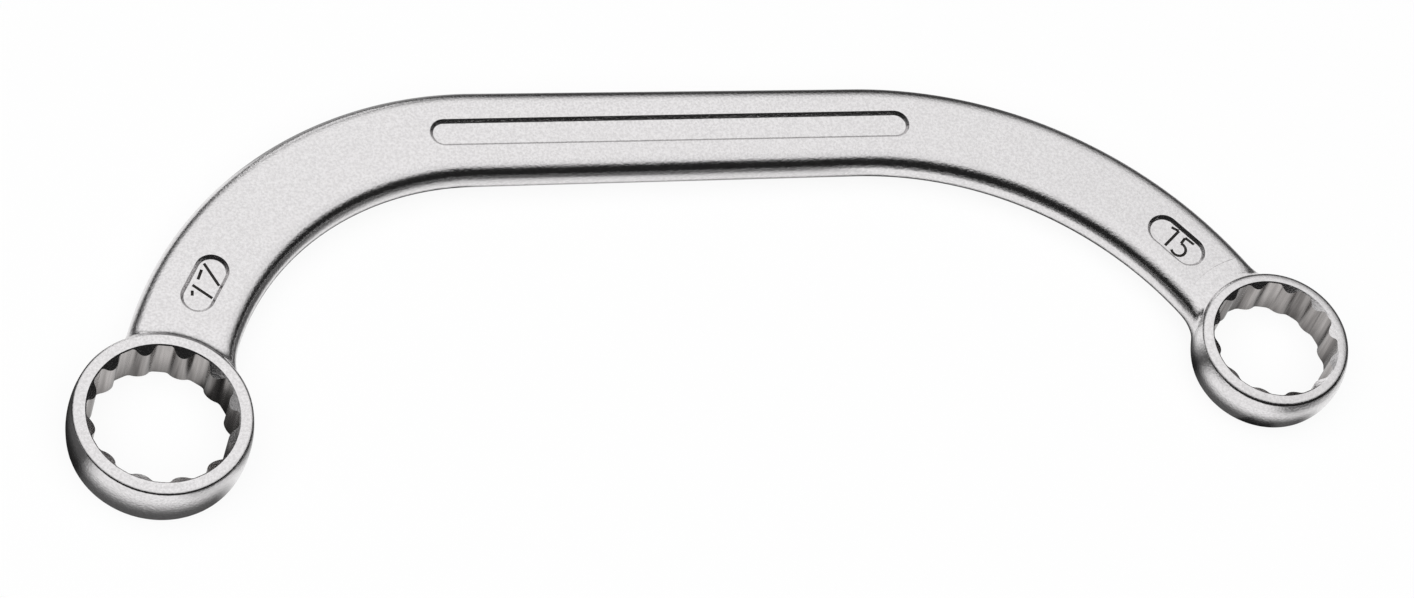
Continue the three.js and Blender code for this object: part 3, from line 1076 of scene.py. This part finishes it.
    def lights(self, scene, studio):
        """Hangs the lamps in a dark room.

        A softbox that fades at its edges, a low lamp for the large bend's outer edge, and a fill
        that only the floor shows.
        """
        back = Vector((sin(studio.heading), cos(studio.heading), 0))
        right = Vector((cos(studio.heading), -sin(studio.heading), 0))
        for step, (part, front, rear, leftmost, rightmost) in enumerate(SOFTBOX):
            size = ((leftmost + rightmost) * OVAL, (front + rear) * OVAL)
            place = (right * (rightmost - leftmost) / 2 + back * (rear - front) / 2
                     + UP * (SOFTBOX_HEIGHT + LAYER_GAP * step))
            self.lamp(scene, "softbox", size, studio.key * part, place, (0, -studio.heading),
                      glossy=True)
        self.lamp(scene, "edge_light", EDGE_LAMP_SIZE, studio.key,
                  heading_vector(studio.edge) * EDGE_LAMP_AWAY + UP * EDGE_LAMP_HEIGHT,
                  (-pi / 2, studio.edge - pi / 2), glossy=True)
        self.lamp(scene, "floor_fill", FILL_SIZE, studio.fill,
                  UP * FILL_HEIGHT - back * FILL_FORWARD, (0, 0), glossy=False)
        room = bpy.data.worlds.new("dark_room")
        recipe = Recipe(room)
        dim = recipe.node("ShaderNodeBackground", {}, {"Color": (*studio.room, 1)})
        recipe.node("ShaderNodeOutputWorld", {}, {"Surface": dim.value()})
        scene.world = room

    def lamp(self, scene, name, size, radiance, place, turn, glossy):
        """A round or oval lamp, tilted and turned, for the metal or for the floor alone."""
        light = bpy.data.lights.new(name, "AREA")
        light.shape = "ELLIPSE"
        light.size, light.size_y = size
        light.energy = radiance * pi * pi * size[0] * size[1] / 4
        lamp = bpy.data.objects.new(name, light)
        lamp.location, lamp.rotation_euler = place, (turn[0], 0, turn[1])
        lamp.visible_camera = False
        lamp.visible_glossy, lamp.visible_diffuse = glossy, not glossy
        scene.collection.objects.link(lamp)

    def camera(self, scene, studio):
        """The photograph's view."""
        level = heading_vector(pi / 2 - studio.heading)
        ahead = level * cos(studio.elevation) - UP * sin(studio.elevation)
        view = bpy.data.cameras.new("camera")
        view.sensor_fit, view.sensor_width, view.lens = "HORIZONTAL", SENSOR_WIDTH, studio.lens
        camera = bpy.data.objects.new("camera", view)
        camera.location = Vector(studio.aim) - ahead * studio.distance
        upright = ahead.to_track_quat("-Z", "Y")
        camera.rotation_euler = (
            upright.to_matrix() @ Matrix.Rotation(studio.roll, 3, "Z")).to_euler()
        scene.collection.objects.link(camera)
        scene.camera = camera


class SPANNER_PT_panel(bpy.types.Panel):
    """Lists the sizes, the finish and the steps"""

    bl_idname = "SPANNER_PT_panel"
    bl_label = "Ring spanner"
    bl_space_type = "VIEW_3D"
    bl_region_type = "UI"
    bl_category = "Spanner"

    def draw(self, context):
        for group in GROUPS:
            box = self.layout.box()
            box.label(text=group.capitalize())
            held = getattr(context.scene, "spanner_" + group)
            for name in held.__annotations__:
                box.prop(held, name)
        for step in STEPS:
            self.layout.operator(step.bl_idname)


GROUPS = {"large": LargeEnd, "small": SmallEnd, "forging": Forging, "finish": Finish,
          "studio": Studio}
STEPS = (SPANNER_OT_forge, SPANNER_OT_stage)
CLASSES = (*GROUPS.values(), *STEPS, SPANNER_PT_panel)


def register():
    """Adds the classes and the scene's settings."""
    for kind in CLASSES:
        bpy.utils.register_class(kind)
    for name, group in GROUPS.items():
        setattr(bpy.types.Scene, "spanner_" + name, PointerProperty(type=group))


def unregister():
    """Takes the settings and the classes away."""
    for name in GROUPS:
        delattr(bpy.types.Scene, "spanner_" + name)
    for kind in reversed(CLASSES):
        bpy.utils.unregister_class(kind)


def main():
    """Builds the spanner and its stage."""
    register()
    bpy.ops.spanner.forge()
    bpy.ops.spanner.stage()


if __name__ == "__main__":
    main()
